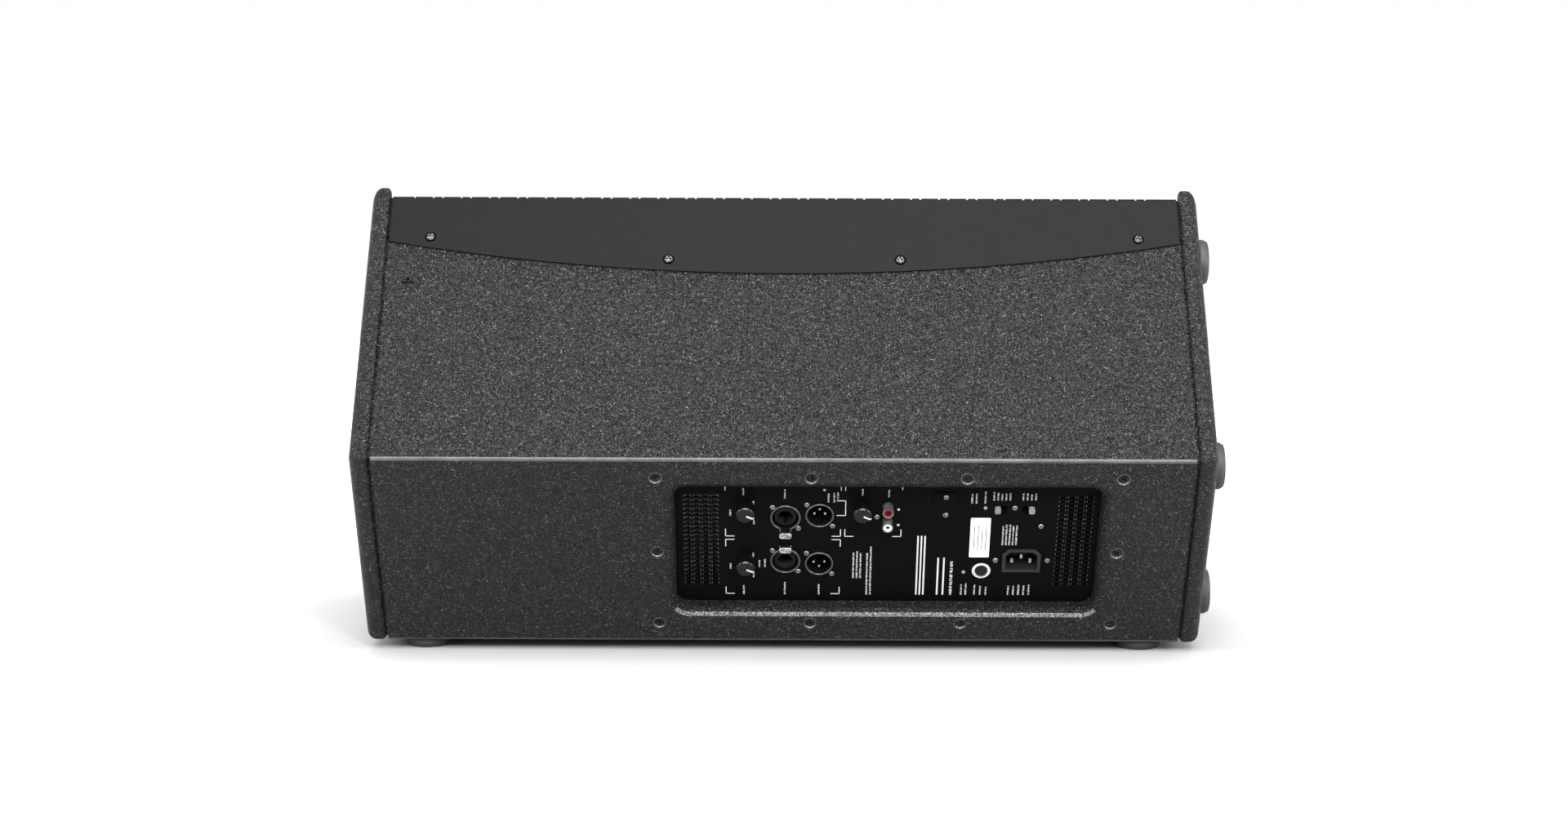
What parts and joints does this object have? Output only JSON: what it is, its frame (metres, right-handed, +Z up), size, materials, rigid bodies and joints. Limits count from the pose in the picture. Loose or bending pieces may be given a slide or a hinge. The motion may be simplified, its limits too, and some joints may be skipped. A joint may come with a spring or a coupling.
{
  "type": "stage monitor wedge",
  "caption": "Powered stage monitor cabinet lying on its side, with a woofer and horn behind a perforated grille, a recessed amplifier panel, a pole socket and a carry handle.",
  "frame": {"origin": "on the floor under the middle of the bounding box, with the cabinet lying on the feet of its lower side", "axes": "+Z up, X along the cabinet's length with the carry handle at +X and the pole socket at -X, the grille faces -Y and the amplifier's panel faces +Y"},
  "size_m": [0.658, 0.32, 0.357],
  "materials": {
    "structure_paint": "plywood under a coarse dark grey structure paint",
    "grille_paint": "smooth satin black powder coat on perforated steel",
    "foam": "black open-cell acoustic foam",
    "rubber": "black rubber",
    "black_plastic": "matte black moulded plastic",
    "gloss_plastic": "glossy black moulded plastic",
    "panel_paint": "fine matte black paint on the amplifier's panel",
    "print_white": "white silk-screen print",
    "label_paper": "white label",
    "black_screw": "blackened steel",
    "bright_steel": "bright zinc-plated steel",
    "nickel": "nickel plate",
    "socket_rim": "dark grey die-cast rim",
    "inlet_rim": "grey plastic rim",
    "red_plastic": "red plastic",
    "white_plastic": "white plastic",
    "grey_plastic": "light grey plastic",
    "lens": "dark unlit lens",
    "aluminium": "cast or extruded aluminium",
    "steel": "black-oxide steel",
    "magnet": "coated magnet",
    "paper_cone": "black pulp cone",
    "cloth": "treated cloth",
    "circuit_board": "green fibreglass board",
    "handle_rubber": "soft black grip"
  },
  "bodies": {
    "root": {"side_panel_upper": "structure_paint", "side_panel_lower": "structure_paint", "rear_panel": "structure_paint", "baffle": "structure_paint", "end_plate_top": "structure_paint", "end_plate_bottom": "structure_paint", "grille": "grille_paint", "grille_foam": "foam", "grille_screws": "black_screw", "woofer_basket": "aluminium", "woofer_surround": "cloth", "woofer_spider": "cloth", "woofer_top_plate": "steel", "woofer_magnet": "magnet", "woofer_back_plate": "steel", "baffle_screws": "black_screw", "horn": "black_plastic", "compression_driver": "magnet", "port_tubes": "black_plastic", "amp_panel": "panel_paint", "amp_gasket": "rubber", "module_screws": "structure_paint", "panel_screws": "bright_steel", "amp_chassis": "steel", "heatsink": "aluminium", "input_board": "circuit_board", "power_board": "circuit_board", "power_parts": "black_plastic", "input_sockets": "socket_rim", "input_cores": "black_plastic", "output_sockets": "socket_rim", "connector_pins": "nickel", "phono_insert_red": "red_plastic", "phono_insert_white": "white_plastic", "phono_barrels": "nickel", "gain_pots": "steel", "switch_bodies": "black_plastic", "mains_inlet": "inlet_rim", "blanking_plate": "panel_paint", "status_lights": "lens", "rating_label": "label_paper", "rubber_feet": "rubber", "fixing_screws": "black_screw", "pole_cup": "black_plastic", "handle_cup": "black_plastic", "handle_bar": "handle_rubber", "rigging_screws": "structure_paint", "rigging_nuts": "steel", "speaker_leads": "rubber"},
    "woofer_coil_assembly": {"woofer_cone": "paper_cone", "woofer_dust_cap": "paper_cone", "woofer_voice_coil": "bright_steel"},
    "knob_input_upper": {"gain_knob_1": "black_plastic"},
    "knob_input_lower": {"gain_knob_2": "black_plastic"},
    "knob_aux": {"gain_knob_3": "black_plastic"},
    "slider_left": {"slide_switch_left": "grey_plastic"},
    "slider_right": {"slide_switch_right": "grey_plastic"},
    "power_push": {"power_button": "gloss_plastic"},
    "latch_upper": {"latch_tab_upper": "nickel"},
    "latch_lower": {"latch_tab_lower": "nickel"}
  },
  "joints": [
    {"name": "gain_upper_turn", "type": "hinge", "parent": "root", "child": "knob_input_upper", "pos_m": [0.033, 0.12114, 0.12014], "axis": [0, 0.891, -0.454], "range_deg": [-45, 255]},
    {"name": "gain_lower_turn", "type": "hinge", "parent": "root", "child": "knob_input_lower", "pos_m": [0.033, 0.09803, 0.07478], "axis": [0, 0.891, -0.454], "range_deg": [-45, 255]},
    {"name": "gain_aux_turn", "type": "hinge", "parent": "root", "child": "knob_aux", "pos_m": [-0.056, 0.12114, 0.12014], "axis": [0, 0.891, -0.454], "range_deg": [-45, 255]},
    {"name": "slider_left_slide", "type": "slide", "parent": "root", "child": "slider_left", "axis": [-1, 0, 0], "range_m": [0, 0.0044]},
    {"name": "slider_right_slide", "type": "slide", "parent": "root", "child": "slider_right", "axis": [1, 0, 0], "range_m": [0, 0.0044]},
    {"name": "power_press", "type": "slide", "parent": "root", "child": "power_push", "axis": [0, -0.891, 0.454], "range_m": [0, 0.0025], "stiffness_N_per_m": 600, "springref_m": -0.001},
    {"name": "latch_upper_press", "type": "slide", "parent": "root", "child": "latch_upper", "axis": [0, -0.891, 0.454], "range_m": [0, 0.002], "stiffness_N_per_m": 500, "springref_m": -0.001},
    {"name": "latch_lower_press", "type": "slide", "parent": "root", "child": "latch_lower", "axis": [0, -0.891, 0.454], "range_m": [0, 0.002], "stiffness_N_per_m": 500, "springref_m": -0.001},
    {"name": "woofer_travel", "type": "slide", "parent": "root", "child": "woofer_coil_assembly", "axis": [0, -0.891, 0.454], "range_m": [-0.004, 0.004], "stiffness_N_per_m": 4000}
  ]
}
